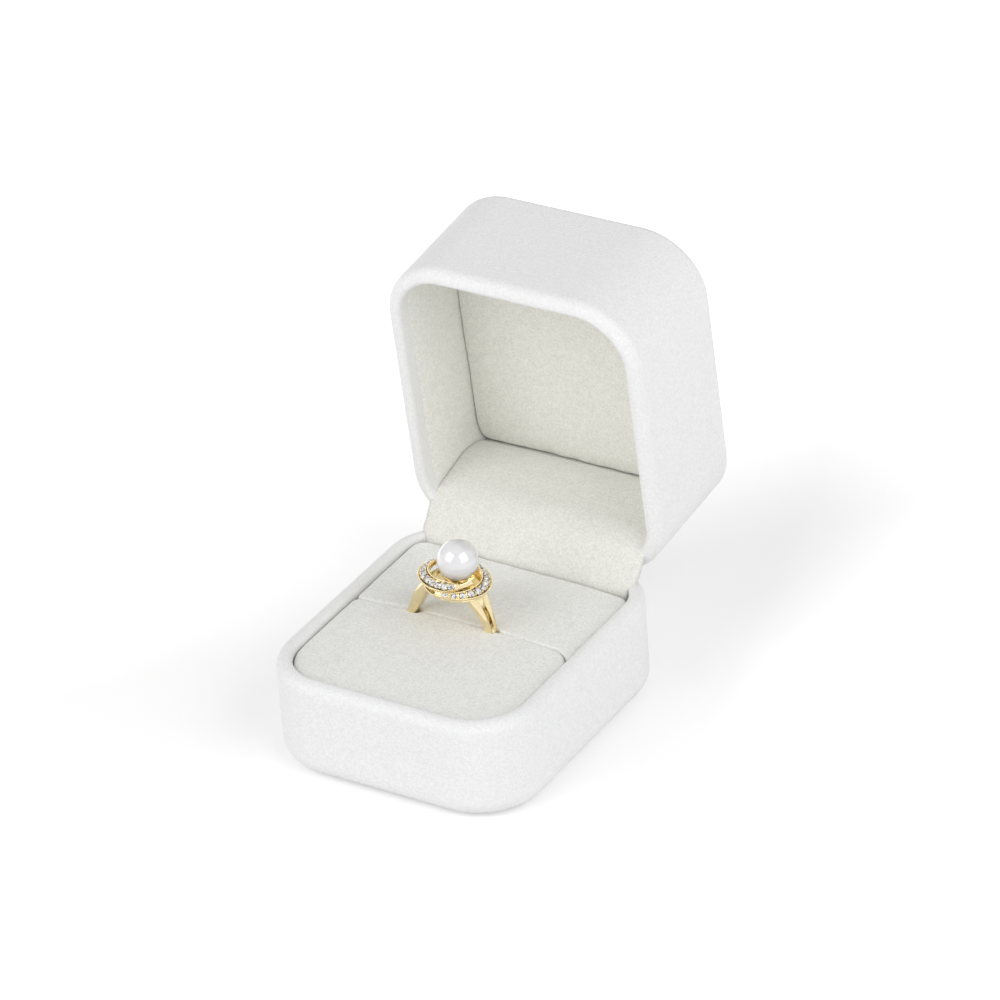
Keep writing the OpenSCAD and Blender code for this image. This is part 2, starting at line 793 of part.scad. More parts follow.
base_core();
base_cover();
base_sheet();
insert_card();
pad_front();
pad_rear();
hinge_flap();
hinge_leaf_base();
hinge_pin();
rivets_base();
lid_core();
lid_cover();
lid_lining();
lid_card();
lid_panel();
hinge_leaf_lid();
rivets_lid();
ring_shank();
pearl_cup();
halo_band_left();
halo_band_right();
stones_left();
stones_right();
pearl();
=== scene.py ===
# Ring display box with its lid open, and a pearl ring in the slit of its pads.
# Lengths of the object are millimetres in the frame's axes, and mesh_object() turns them into metres.
# The softboxes and the floor are written in metres.
import json
import math

import bmesh
import bpy
from mathutils import Matrix, Vector, noise


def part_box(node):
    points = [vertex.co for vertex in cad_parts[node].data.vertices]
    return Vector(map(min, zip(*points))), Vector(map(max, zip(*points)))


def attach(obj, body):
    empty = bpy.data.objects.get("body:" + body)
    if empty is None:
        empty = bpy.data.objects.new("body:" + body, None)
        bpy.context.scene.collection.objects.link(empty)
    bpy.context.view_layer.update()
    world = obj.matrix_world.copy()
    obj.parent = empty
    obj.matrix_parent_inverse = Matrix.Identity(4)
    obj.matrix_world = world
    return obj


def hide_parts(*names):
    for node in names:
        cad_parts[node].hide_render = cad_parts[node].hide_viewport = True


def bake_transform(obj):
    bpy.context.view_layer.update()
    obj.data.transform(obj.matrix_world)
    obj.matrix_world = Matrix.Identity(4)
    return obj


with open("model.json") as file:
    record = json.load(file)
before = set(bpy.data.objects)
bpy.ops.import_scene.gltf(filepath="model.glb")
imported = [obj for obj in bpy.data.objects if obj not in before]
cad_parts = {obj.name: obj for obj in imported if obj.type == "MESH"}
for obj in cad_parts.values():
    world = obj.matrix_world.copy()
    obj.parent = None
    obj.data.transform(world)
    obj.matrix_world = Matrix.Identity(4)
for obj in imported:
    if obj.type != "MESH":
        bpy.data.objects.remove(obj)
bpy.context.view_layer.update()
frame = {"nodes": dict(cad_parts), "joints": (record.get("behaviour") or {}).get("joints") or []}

MM = 0.001

# ---- sizes taken from the frame ------------------------------------------


def corner_mm(node):
    """Highest corner of a node's box."""
    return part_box(node)[1] / MM


def joint_named(name):
    return next(joint for joint in frame["joints"] if joint["name"] == name)


BASE_HIGH = corner_mm("base_cover")
HALF_W = BASE_HIGH.x
HALF_D = BASE_HIGH.y
RIM_Z = BASE_HIGH.z
PIN = Vector(joint_named("lid_hinge")["pos_m"]) / MM
OPEN_ANGLE = math.radians(joint_named("lid_hinge")["range_deg"][1])
SEAM_GAP = 2 * (PIN.z - RIM_Z)
LID_TURN = Matrix.Translation(PIN) @ Matrix.Rotation(-OPEN_ANGLE, 4, "X") @ Matrix.Translation(-PIN)

# ---- sizes repeated from the part's source -------------------------------
# WALL_T is the cover, the core and the lining together, and PLATE_T the cover and the core's plate

BOX_H = 45.4
FRONT_R = 11.9
REAR_R = 10.8
SKIN_T = 0.6
WALL_T = 2.8
PLATE_T = 2.0
CARD_T = 0.8
LID_TURN_IN = 3.0
LID_RIM_Z = RIM_Z + SEAM_GAP
CEILING_Z = BOX_H - PLATE_T

PAD_SIDE = 3.1
PAD_DROP = 1.2
PAD_EDGE_Z = RIM_Z - PAD_DROP
PAD_CROWN = 0.9
PAD_LOW_Z = 3.2
PAD_REAR_INSET = 6.6
PAD_REAR_Y = HALF_D - PAD_REAR_INSET
SLIT_Y = 1.0
SLIT_W = 0.6
SLIT_CORNER_R = 1.2
TUCK_CORNER_R = 4.0
PANEL_DEPTH = 17.8
PANEL_REAR_INSET = 6.9
PANEL_REAR_Y = HALF_D - PANEL_REAR_INSET
PANEL_CROWN = 0.5

RING_X = -2.2
RING_Z = 12.9
RING_LEAN = math.radians(6.5)
FINGER_R = 8.6
SHANK_T = 1.6
SHANK_W = 2.0
HALO_Z = 15.7
HALO_R = 5.4
HALO_LEFT = 0.4
RAIL_DROP = 1.822
RAIL_Z = HALO_Z - RAIL_DROP
PEARL_R = 3.6
PEARL_RISE = 3.0
PEARL_Z = HALO_Z + PEARL_RISE

# ---- mesh helpers --------------------------------------------------------


def mesh_object(name, points, faces, material, smooth=True):
    """A mesh piece from points in millimetres."""
    mesh = bpy.data.meshes.new(name)
    mesh.from_pydata([Vector(p) * MM for p in points], [], faces)
    mesh.validate()
    work = bmesh.new()
    work.from_mesh(mesh)
    bmesh.ops.recalc_face_normals(work, faces=work.faces)
    work.to_mesh(mesh)
    work.free()
    for face in mesh.polygons:
        face.use_smooth = smooth
    piece = bpy.data.objects.new(name, mesh)
    bpy.context.scene.collection.objects.link(piece)
    mesh.materials.append(material)
    return piece


def smoothstep(value, low, high):
    t = min(1.0, max(0.0, (value - low) / (high - low)))
    return t * t * (3 - 2 * t)


def ripple(point, size, seed=0.0):
    """Smooth noise between -1 and 1 whose bumps are about size across."""
    return noise.noise(Vector(point) / size + Vector((seed, seed * 1.7, -seed)))


def curve_through(points, per_span):
    """Catmull-Rom curve through the points."""
    ends = [2 * points[0] - points[1]] + list(points) + [2 * points[-1] - points[-2]]
    line = []
    for a, b, c, d in zip(ends, ends[1:], ends[2:], ends[3:]):
        for k in range(per_span):
            t = k / per_span
            line.append(0.5 * (2 * b + (c - a) * t + (2 * a - 5 * b + 4 * c - d) * t * t
                               + (3 * b - a - 3 * c + d) * t ** 3))
    return line + [points[-1].copy()]


def rounded_outline(x0, x1, y0, y1, radii, step):
    """Points and outward normals round a rectangle, counter-clockwise. radii are those of the rear
    right, rear left, front left and front right corners."""
    corners = []
    for c, (sx, sy) in enumerate(((1, 1), (-1, 1), (-1, -1), (1, -1))):
        r = radii[c]
        centre = Vector(((x1 if sx > 0 else x0) - sx * r, (y1 if sy > 0 else y0) - sy * r))
        count = max(5, round(r * math.pi / 2 / step))
        for i in range(count + 1):
            a = math.pi / 2 * (c + i / count)
            n = Vector((math.cos(a), math.sin(a)))
            corners.append((centre + r * n, n))
    points = []
    for (p, n), (q, m) in zip(corners, corners[1:] + corners[:1]):
        gaps = max(1, round((q - p).length / step))
        for k in range(gaps):
            points.append((p.lerp(q, k / gaps), n.lerp(m, k / gaps).normalized()))
    return points


def ring_faces(rings, per, wrap=False):
    """Quads between rings of points, with a cap at each end or joined end to start."""
    faces = []
    spans = rings if wrap else rings - 1
    for k in range(spans):
        for i in range(per):
            j, n = (i + 1) % per, (k + 1) % rings
            faces.append((k * per + i, k * per + j, n * per + j, n * per + i))
    if not wrap:
        faces.append(tuple(reversed(range(per))))
        faces.append(tuple(range((rings - 1) * per, rings * per)))
    return faces


# ---- material helpers ----------------------------------------------------


# How far a wandering cell outline is pulled from its place
CELL_WANDER = 0.0006


def math_node(nodes, links, operation, *values):
    """Result of a math node on numbers or sockets."""
    node = nodes.new("ShaderNodeMath")
    node.operation = operation
    for socket, value in zip(node.inputs, values):
        if isinstance(value, bpy.types.NodeSocket):
            links.new(value, socket)
        else:
            socket.default_value = value
    return node.outputs[0]


class Look:
    """A Principled material under construction. Textures use the piece's own coordinates in metres."""

    def __init__(self, name, colour, roughness, **values):
        self.material = bpy.data.materials.new(name)
        self.material.use_nodes = True
        self.nodes = self.material.node_tree.nodes
        self.links = self.material.node_tree.links
        self.shader = self.nodes["Principled BSDF"]
        self.shader.inputs["Base Color"].default_value = (*colour, 1)
        self.shader.inputs["Roughness"].default_value = roughness
        for socket, value in values.items():
            self.shader.inputs[socket.replace("_", " ")].default_value = value
        self.colour = colour
        self.place = self.nodes.new("ShaderNodeTexCoord").outputs["Object"]
        self.height = None

    def put(self, kind, **values):
        node = self.nodes.new(kind)
        for socket, value in values.items():
            key = socket.replace("_", " ")
            if isinstance(value, bpy.types.NodeSocket):
                self.links.new(value, node.inputs[key])
            else:
                node.inputs[key].default_value = value
        return node

    def noise(self, size_mm, detail=4.0, roughness=0.6, stretch=None):
        place = self.place
        if stretch:
            mapping = self.put("ShaderNodeMapping", Vector=place, Scale=stretch)
            place = mapping.outputs["Vector"]
        node = self.put("ShaderNodeTexNoise", Vector=place, Scale=1 / (size_mm * MM), Detail=detail,
                        Roughness=roughness)
        return node.outputs["Fac"]

    def cells(self, size_mm, wobble_mm):
        """Distance to the edges of cells whose outlines wander."""
        shift = self.put("ShaderNodeTexNoise", Vector=self.place, Scale=1 / (wobble_mm * MM), Detail=2.0)
        mixed = self.nodes.new("ShaderNodeMix")
        mixed.data_type = "VECTOR"
        mixed.inputs["Factor"].default_value = CELL_WANDER
        self.links.new(self.place, mixed.inputs[4])
        self.links.new(shift.outputs["Color"], mixed.inputs[5])
        node = self.put("ShaderNodeTexVoronoi", Scale=1 / (size_mm * MM))
        node.feature = "DISTANCE_TO_EDGE"
        self.links.new(mixed.outputs[1], node.inputs["Vector"])
        return node.outputs["Distance"]

    def levels(self, source, low, high, from_value, to_value):
        """source between low and high, mapped to from_value and to_value."""
        node = self.put("ShaderNodeMapRange", Value=source)
        for key, value in (("From Min", low), ("From Max", high), ("To Min", from_value),
                           ("To Max", to_value)):
            node.inputs[key].default_value = value
        return node.outputs["Result"]

    def tint(self, source, low, high, dark, light):
        """Colour that runs from dark to light times the base colour as source goes from low to high."""
        node = self.put("ShaderNodeValToRGB", Fac=source)
        ramp = node.color_ramp
        ramp.elements[0].position, ramp.elements[1].position = low, high
        for element, factor in zip(ramp.elements, (dark, light)):
            scale = factor if hasattr(factor, "__len__") else (factor,) * 3
            element.color = (*[min(1, c * s) for c, s in zip(self.colour, scale)], 1)
        return node.outputs["Color"]

    def base(self, source):
        self.links.new(source, self.shader.inputs["Base Color"])

    def rough(self, source):
        self.links.new(source, self.shader.inputs["Roughness"])

    def bump(self, source, strength, distance_mm):
        values = {"Height": source, "Strength": strength, "Distance": distance_mm * MM}
        if self.height:
            values["Normal"] = self.height
        self.height = self.put("ShaderNodeBump", **values).outputs["Normal"]
        self.links.new(self.height, self.shader.inputs["Normal"])


# ---- materials -----------------------------------------------------------


def leather():
    """Matt white leathercloth with a fine pebbled grain."""
    look = Look("leathercloth", (0.885, 0.885, 0.887), 0.5, Specular_IOR_Level=0.35)
    grain = look.cells(0.5, 0.6)
    speckle = look.noise(0.42, 5.0, 0.7)
    look.base(look.tint(speckle, 0.36, 0.64, 0.915, 1.03))
    look.rough(look.levels(look.noise(1.5), 0.3, 0.7, 0.46, 0.6))
    look.bump(look.noise(7.0, 2.0), 0.08, 0.15)
    look.bump(grain, 0.6, 0.08)
    look.bump(speckle, 0.6, 0.06)
    return look.material


# Shares of single tufts and of clumps of them in the velvet's mottling
TUFT_SHARE = 0.86
CLUMP_SHARE = 0.14


def velvet(name, colour, nap):
    """Short suede-like pile with a fine, strongly mottled nap. nap is how much it stands up."""
    look = Look(name, colour, 0.95, Specular_IOR_Level=0.12, Sheen_Weight=0.25, Sheen_Roughness=0.45)
    tufts = look.noise(0.4, 6.0, 0.8)
    clump = look.noise(1.3, 4.0, 0.7)
    part = math_node(look.nodes, look.links, "MULTIPLY", clump, CLUMP_SHARE)
    mixed = math_node(look.nodes, look.links, "MULTIPLY_ADD", tufts, TUFT_SHARE, part)
    look.base(look.tint(mixed, 0.36, 0.6, (0.81, 0.805, 0.79), (1.05, 1.05, 1.055)))
    look.bump(clump, 0.25, 0.12 * nap)
    look.bump(tufts, 0.8, 0.16 * nap)
    look.bump(look.noise(0.2, 4.0, 0.75), 0.35, 0.05 * nap)
    return look.material


def gold(name, roughness):
    """Polished pale yellow gold."""
    look = Look(name, (0.935, 0.805, 0.515), roughness, Metallic=1.0)
    look.base(look.tint(look.noise(1.2, 3.0), 0.3, 0.7, (0.93, 0.9, 0.84), 1.0))
    look.rough(look.levels(look.noise(0.25), 0.3, 0.7, roughness * 0.7, roughness * 1.4))
    look.bump(look.noise(0.12, 3.0), 0.08, 0.01)
    return look.material


def steel():
    """Brushed steel of the hinge."""
    look = Look("steel", (0.62, 0.63, 0.65), 0.34, Metallic=1.0)
    brushed = look.noise(0.3, 3.0, 0.6, (0.06, 1, 1))
    look.base(look.tint(brushed, 0.3, 0.7, 0.85, 1.0))
    look.rough(look.levels(brushed, 0.3, 0.7, 0.26, 0.44))
    look.bump(brushed, 0.15, 0.02)
    return look.material


def paper(name, colour, fibre_mm):
    """Card or backing sheet with fibres about fibre_mm long."""
    look = Look(name, colour, 0.85, Specular_IOR_Level=0.2)
    fibre = look.noise(fibre_mm, 6.0, 0.75)
    look.base(look.tint(fibre, 0.3, 0.7, 0.9, 1.0))
    look.bump(fibre, 0.4, 0.05)
    return look.material


def moulded():
    """Plain moulded plastic of the hidden cores."""
    look = Look("moulded_core", (0.72, 0.72, 0.70), 0.55)
    mottle = look.noise(0.6, 4.0)
    look.base(look.tint(mottle, 0.3, 0.7, 0.93, 1.0))
    look.rough(look.levels(mottle, 0.3, 0.7, 0.5, 0.65))
    look.bump(mottle, 0.2, 0.03)
    return look.material


def gem():
    """Clear stone with patches of white, grey and dark painted on its facets as reflections."""
    look = Look("stone", (1.0, 1.0, 1.0), 0.03, Transmission_Weight=0.35, IOR=2.3)
    # Painted reflections: random cells from dark grey to white stand in for the dark and bright surroundings
    # that the facets mirror.
    painted_reflection = look.nodes.new("ShaderNodeTexVoronoi")
    painted_reflection.inputs["Scale"].default_value = 1 / (0.3 * MM)
    look.links.new(look.place, painted_reflection.inputs["Vector"])
    split = look.put("ShaderNodeSeparateColor", Color=painted_reflection.outputs["Color"])
    look.base(look.tint(split.outputs["Red"], 0.25, 0.5, (0.16, 0.165, 0.17), 1.0))
    look.rough(look.levels(look.noise(0.3), 0.3, 0.7, 0.01, 0.05))
    look.bump(look.noise(0.2, 2.0), 0.03, 0.005)
    return look.material


def pearl_skin():
    """Nacre: pale grey body under a bright, slightly blurred gloss."""
    look = Look("pearl", (0.72, 0.72, 0.735), 0.2, Specular_IOR_Level=1.0, IOR=1.8, Coat_Weight=1.0,
                Coat_IOR=1.7, Coat_Roughness=0.13, Subsurface_Weight=0.6, Subsurface_Scale=0.002,
                Subsurface_Radius=(1.0, 1.0, 1.0))
    bands = look.noise(1.6, 3.0, 0.5, (1, 1, 2.5))
    look.base(look.tint(bands, 0.3, 0.7, (0.97, 0.96, 0.97), (1.03, 1.03, 1.02)))
    look.rough(look.levels(look.noise(0.8), 0.3, 0.7, 0.16, 0.24))
    look.bump(look.noise(1.1, 2.0), 0.05, 0.01)
    return look.material


LEATHER = leather()
VELVET = velvet("velvet", (0.945, 0.95, 0.925), 0.95)
VELVET_FLAP = velvet("velvet_flap", (0.885, 0.88, 0.835), 0.85)
VELVET_LINING = velvet("velvet_lining", (0.95, 0.965, 0.915), 0.45)
VELVET_PANEL = velvet("velvet_panel", (0.945, 0.942, 0.88), 1.0)
GOLD = gold("gold", 0.14)
GOLD_BRIGHT = gold("gold_bright_cut", 0.09)
STEEL = steel()
CARD = paper("card", (0.80, 0.79, 0.74), 0.5)
SHEET = paper("backing_sheet", (0.78, 0.78, 0.76), 0.9)
MOULDED = moulded()
GEM = gem()
PEARL = pearl_skin()


def paint_cad_nodes():
    """Materials of the nodes whose solids stay as the part's source makes them."""
    kept = {"base_cover": LEATHER, "lid_cover": LEATHER, "base_core": MOULDED, "lid_core": MOULDED,
            "base_sheet": SHEET, "insert_card": CARD, "lid_card": CARD, "hinge_leaf_base": STEEL,
            "hinge_leaf_lid": STEEL, "hinge_pin": STEEL, "rivets_base": STEEL, "rivets_lid": STEEL,
            "pearl_cup": GOLD}
    for name, material in kept.items():
        node = frame["nodes"][name]
        if not node.material_slots:
            node.data.materials.append(material)
        for slot in node.material_slots:
            slot.material = material


# ---- pads ----------------------------------------------------------------


CUSHION_TUCK = 0.3
DOME_POWER = 2.6
OUTLINE_STEP = 0.5


def dome(u, v, crown):
    """Height of a dome of that crown, at shares u and v of the way from its middle to its edges."""
    return crown * (1 - u ** DOME_POWER) * (1 - v ** DOME_POWER)


def cushion(name, outline, base_z, top, edge_radius, reshape, material):
    """A stuffed block. top(x, y) is the height of its top, edge_radius(n) the rounding of its upper
    edge where its side faces n, and reshape moves each point."""
    low = Vector((min(p.x for p, n in outline), min(p.y for p, n in outline)))
    high = Vector((max(p.x for p, n in outline), max(p.y for p, n in outline)))
    middle = (low + high) / 2
    spine = max(0.0, (high.x - low.x - high.y + low.y) / 2)
    sides = 12
    arcs = 6
    tops = 34
    edges = [(p, n, edge_radius(n)) for p, n in outline]
    crests = [top(*(p - n * r)) for p, n, r in edges]
    rings = []
    for k in range(sides):
        inset = CUSHION_TUCK * (1 - smoothstep(k, 0, 2))
        ring = []
        for (p, n, r), crest in zip(edges, crests):
            ring.append((*(p - n * inset), base_z + (crest - r - base_z) * k / sides))
        rings.append(ring)
    for k in range(arcs + 1):
        a = math.pi / 2 * k / arcs
        ring = []
        for (p, n, r), crest in zip(edges, crests):
            ring.append((*(p - n * r * (1 - math.cos(a))), crest - r * (1 - math.sin(a))))
        rings.append(ring)
    for k in range(1, tops):
        ring = []
        for p, n, r in edges:
            edge = p - n * r
            core = Vector((min(max(edge.x - middle.x, -spine), spine) + middle.x, middle.y))
            q = edge.lerp(core, k / tops)
            ring.append((*q, top(*q)))
        rings.append(ring)
    points = [reshape(Vector(p)) for ring in rings for p in ring]
    piece = mesh_object(name, points, ring_faces(len(rings), len(outline)), material)
    return piece


def follow_wall(outline, side):
    """The outline, side inside the box's own, drawn in where the walls' rear corners come round."""
    squeezed = []
    r = REAR_R - side
    start = HALF_D - REAR_R
    for p, n in outline:
        if p.y > start:
            limit = HALF_W - REAR_R + math.sqrt(max(0.0, r * r - (p.y - start) ** 2))
            p = Vector((p.x * limit / (HALF_W - side), p.y))
        squeezed.append((p, n))
    return squeezed


PAD_FRONT_Y = PAD_SIDE - HALF_D
PAD_MIDDLE_Y = (PAD_FRONT_Y + PAD_REAR_Y) / 2
# Rounding of the pads' outer edges, tighter than in the part's source, and of the slit's lips
PAD_EDGE_R = 0.65
LIP_R = 0.5
REAR_CORNER_R = 1.6


def pad_top(x, y):
    """Both pads together make one low dome."""
    u = min(1, abs(x) / (HALF_W - PAD_SIDE))
    v = min(1, abs(y - PAD_MIDDLE_Y) / (PAD_REAR_Y - PAD_MIDDLE_Y))
    return PAD_EDGE_Z + dome(u, v, PAD_CROWN)


def ring_leg(side, z):
    """Where the middle of a leg of the ring stands along X at height z."""
    rise = z - RING_Z
    reach = FINGER_R + SHANK_T / 2
    turn = math.radians(FORK_ANGLE)
    root = Vector((reach * math.cos(turn), reach * math.sin(turn)))
    if rise < root.y:
        out = math.sqrt(reach ** 2 - rise ** 2)
    else:
        out = root.x - (rise - root.y) * SHOULDER_IN / ((RAIL_Z - root.y) / 2 + SHOULDER_UP)
    if side < 0:
        out += LEFT_OUT * smoothstep(rise, -FINGER_R / 2, root.y)
    return RING_X + side * out + rise * math.sin(RING_LEAN)


LIP_Z = PAD_EDGE_Z + PAD_CROWN
LIP_DEPTH = 2.4
# How far the slit's faces press together, give way to the ring, and draw the pads' tops along
SLIT_PRESS = 0.24
SLIT_GIVE = 0.74
SLIT_REACH = 3.0
# Depth under the lips from which a leg's opening goes straight down
LEG_DEPTH = 5


def slit_push(x, z):
    """How far the ring holds the slit's face back."""
    reach = FINGER_R + SHANK_T + 0.5
    pocket = (smoothstep(x, RING_X - reach - 1.2, RING_X - reach - 0.4)
              * (1 - smoothstep(x, RING_X + reach, RING_X + reach + 0.8)))
    lip = smoothstep(z, LIP_Z - LIP_DEPTH - 1.5, LIP_Z - LIP_DEPTH + 0.3)
    level = max(z, LIP_Z - LEG_DEPTH)
    near, far = SHANK_T / 2 - 0.1, SHANK_T / 2 + 0.35
    legs = max(1 - smoothstep(abs(x - ring_leg(side, level)), near, far) for side in (-1, 1))
    return SLIT_PRESS + SLIT_GIVE * (pocket * (1 - lip) + lip * legs)


# Heights of the pads' unevenness: broad, fine, and sideways; and how far the slit wanders
PAD_WAVE = 0.13
PAD_WAVELET = 0.06
PAD_DRIFT = 0.08
SLIT_WANDER = 0.1


def pad_surface(p, seed):
    """Small unevenness of a hand-covered pad."""
    top = smoothstep(p.z, PAD_EDGE_Z - 1.5, PAD_EDGE_Z)
    q = p.copy()
    q.z += top * (PAD_WAVE * ripple(p, 9, seed) + PAD_WAVELET * ripple(p, 3.2, seed + 4))
    q.x += PAD_DRIFT * ripple(p, 5, seed + 9)
    q.y += PAD_DRIFT * ripple(p, 5, seed + 13)
    return q


def slit_wave(x):
    """The slit isn't drawn with a ruler."""
    return SLIT_WANDER * ripple((x, 0, 0), 7, 71)


def front_pad_shape(p):
    """The front pad's points, with its face of the slit."""
    q = pad_surface(p, 1.3)
    near = 1 - smoothstep(SLIT_Y - SLIT_W / 2 - p.y, 0, SLIT_REACH)
    q.y = p.y + (q.y - p.y) * (1 - near)
    q.y += near * (2 * SLIT_PRESS - slit_push(p.x, p.z) + slit_wave(p.x))
    return q


# Where the front pad's rear right corner is pulled back, the rear pad fills in
NOTCH_X = HALF_W - PAD_SIDE - TUCK_CORNER_R
NOTCH_GAP = 0.28
# The rear pad's far edge is raised at the left and pressed down at the right
LEFT_RAISE = 0.5
RIGHT_PRESS = 0.45


def rear_pad_shape(p):
    """The rear pad's points, with its face of the slit and its uneven far edge."""
    q = pad_surface(p, 5.1)
    near = 1 - smoothstep(p.y - SLIT_Y - SLIT_W / 2, 0, SLIT_REACH)
    q.y = p.y + (q.y - p.y) * (1 - near)
    q.y -= near * (2 * SLIT_PRESS - slit_push(p.x, p.z) - slit_wave(p.x))
    if p.x > NOTCH_X:
        r = TUCK_CORNER_R + NOTCH_GAP
        fall = r - math.sqrt(max(0.0, r * r - (p.x - NOTCH_X) ** 2))
        q.y -= near * fall
    rear = smoothstep(p.y, PAD_REAR_Y - 5, PAD_REAR_Y)
    raised = LEFT_RAISE * smoothstep(-p.x, 3, 18) * smoothstep(p.z, PAD_EDGE_Z - 3, PAD_EDGE_Z)
    q.z += rear * (raised - RIGHT_PRESS * smoothstep(p.x, 6, 20))
    return q


def make_pads():
    """The two velvet pads in the base, with the slit between them."""
    corner = FRONT_R - PAD_SIDE
    side = HALF_W - PAD_SIDE
    front = rounded_outline(-side, side, PAD_FRONT_Y, SLIT_Y - SLIT_W / 2,
                            (TUCK_CORNER_R, SLIT_CORNER_R, corner, corner), OUTLINE_STEP)
    rear = rounded_outline(-side, side, SLIT_Y + SLIT_W / 2, PAD_REAR_Y,
                           (REAR_CORNER_R, REAR_CORNER_R, SLIT_CORNER_R, SLIT_CORNER_R), OUTLINE_STEP)

    def front_edge(n):
        return PAD_EDGE_R + (LIP_R - PAD_EDGE_R) * smoothstep(n.y, 0.5, 1)

    def rear_edge(n):
        return PAD_EDGE_R + (LIP_R - PAD_EDGE_R) * smoothstep(-n.y, 0.5, 1)

    for name, outline, edge, shape, node in (
            ("front_pad_velvet", front, front_edge, front_pad_shape, "pad_front"),
            ("rear_pad_velvet", follow_wall(rear, PAD_SIDE), rear_edge, rear_pad_shape, "pad_rear")):
        piece = cushion(name, outline, PAD_LOW_Z, pad_top, edge, shape, VELVET)
        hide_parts(node)
        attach(piece, "base")


PANEL_FIT = 0.12
PANEL_IN = WALL_T + PANEL_FIT
PANEL_SIDE = HALF_W - PANEL_IN
PANEL_EDGE_R = 0.55
PANEL_REAR_R = 0.8
PANEL_WAVE = 0.14
PANEL_WAVELET = 0.07
# Puckers of the velvet along the panel's edge: downward and sideways
PUCKER = 0.3
PUCKER_SIDE = 0.12


def make_panel():
    """Padded panel of the lid, modelled upside down in the closed lid and turned open."""
    corner = FRONT_R - PANEL_IN
    thick = CEILING_Z - CARD_T - LID_RIM_Z - PANEL_DEPTH
    front = PANEL_IN - HALF_D
    middle = (front + PANEL_REAR_Y) / 2

    def top(x, y):
        u, v = min(1, abs(x) / PANEL_SIDE), min(1, abs(y - middle) / (PANEL_REAR_Y - middle))
        return thick + dome(u, v, PANEL_CROWN)

    def place(p):
        over = smoothstep(p.z, thick - 1.5, thick)
        q = p.copy()
        q.z += over * (PANEL_WAVE * ripple(p, 8, 21) + PANEL_WAVELET * ripple(p, 3, 25))
        edge = 1 - smoothstep(min(PANEL_SIDE - abs(p.x), PANEL_REAR_Y - p.y), 0.3, 2.2)
        q.z -= over * edge * PUCKER * abs(ripple(p, 2.2, 30))
        q.x -= math.copysign(over * edge * PUCKER_SIDE * abs(ripple(p, 1.7, 33)), p.x)
        q.y -= over * edge * PUCKER_SIDE * abs(ripple(p, 1.9, 37))
        return LID_TURN @ Vector((q.x, q.y, CEILING_Z - CARD_T - q.z))

    outline = rounded_outline(-PANEL_SIDE, PANEL_SIDE, front, PANEL_REAR_Y,
                              (PANEL_REAR_R, PANEL_REAR_R, corner, corner), OUTLINE_STEP)
    piece = cushion("lid_panel_velvet", follow_wall(outline, PANEL_IN), 0.0, top,
                    lambda n: PANEL_EDGE_R, place, VELVET_PANEL)
    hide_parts("lid_panel")
    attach(piece, "lid")


# ---- cloth ---------------------------------------------------------------

# Middle line of the flap, close to that of the part's source: [distance in from the rear face,
# height over the base's rim] up to its bend, then [height over the lid's rim, distance in from the
# rear face] to behind the lid's panel
FLAP_LOW = ((5.8, -7), (5.8, -1.6), (4.9, 0.5), (3.5, 2), (1.7, 4.5), (0.1, 5.7))
FLAP_HIGH = ((3.6, 7.3), (6.7, 7.5), (10.3, 7.8), (13.4, 7.8), (16.1, 7.4), (17.9, 6.4), (20.8, 5.9))
# The cloth is thinner and wider than the solid in the part's source. Half widths where it hangs
# free, at its foot and behind the pad
FLAP_T = 0.7
FLAP_FREE_W = 21.45
FLAP_FOOT_W = 21.3
FLAP_DEEP_W = 20.2
FLAP_WAVE = 0.16
FLAP_WAVELET = 0.06


def flap_stations():
    """Middle line of the flap across Y and Z, and half its width at each point."""
    line, widths = [], []
    for inset, rise in FLAP_LOW:
        line.append(Vector((HALF_D - inset, RIM_Z + rise)))
        widths.append(FLAP_DEEP_W if rise < 0 else FLAP_FOOT_W if rise < 1 else FLAP_FREE_W)
    for rise, inset in FLAP_HIGH:
        p = LID_TURN @ Vector((0, HALF_D - inset, LID_RIM_Z + rise))
        line.append(Vector((p.y, p.z)))
        r, into = REAR_R - WALL_T, REAR_R - inset + 0.5
        widths.append(HALF_W - REAR_R + math.sqrt(r * r - into * into) - 0.06)
    return line, widths


def make_flap():
    """Velvet flap over the hinge, one cloth from behind the rear pad to behind the lid's panel."""
    per_span = 7
    line, widths = flap_stations()
    line = curve_through(line, per_span)
    widths = curve_through([Vector((w, 0)) for w in widths], per_span)
    columns = 72
    points = []
    for side in (1, -1):
        for i, (at, width) in enumerate(zip(line, widths)):
            way = (line[min(i + 1, len(line) - 1)] - line[max(i - 1, 0)]).normalized()
            out = Vector((-way.y, way.x))
            for j in range(columns + 1):
                v = 2 * j / columns - 1
                x = width.x * v
                f = i / (len(line) - 1)
                loose = math.sin(math.pi * f) ** 0.7
                lift = loose * (0.3 * (1 - v * v) - 0.3 * abs(v) ** 8)
                spot = (x, f * 30, 0)
                lift += loose * (FLAP_WAVE * ripple(spot, 8, 41) + FLAP_WAVELET * ripple(spot, 3, 45))
                p = at + out * (lift + side * FLAP_T / 2)
                points.append((x, p.x, p.y))
    wide, tall = columns + 1, len(line)
    faces = []
    for side in (0, 1):
        start = side * wide * tall
        for i in range(tall - 1):
            for j in range(columns):
                a = start + i * wide + j
                faces.append((a, a + 1, a + 1 + wide, a + wide))
    back = wide * tall
    rim = [j for j in range(wide)] + [i * wide + columns for i in range(1, tall)]
    rim += [(tall - 1) * wide + j for j in range(columns - 1, -1, -1)]
    rim += [i * wide for i in range(tall - 2, 0, -1)]
    for a, b in zip(rim, rim[1:] + rim[:1]):
        faces.append((a, b, b + back, a + back))
    piece = mesh_object("hinge_flap_velvet", points, faces, VELVET_FLAP)
    length = sum((b - a).length for a, b in zip(line, line[1:]))
    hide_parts("hinge_flap")
    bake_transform(piece)


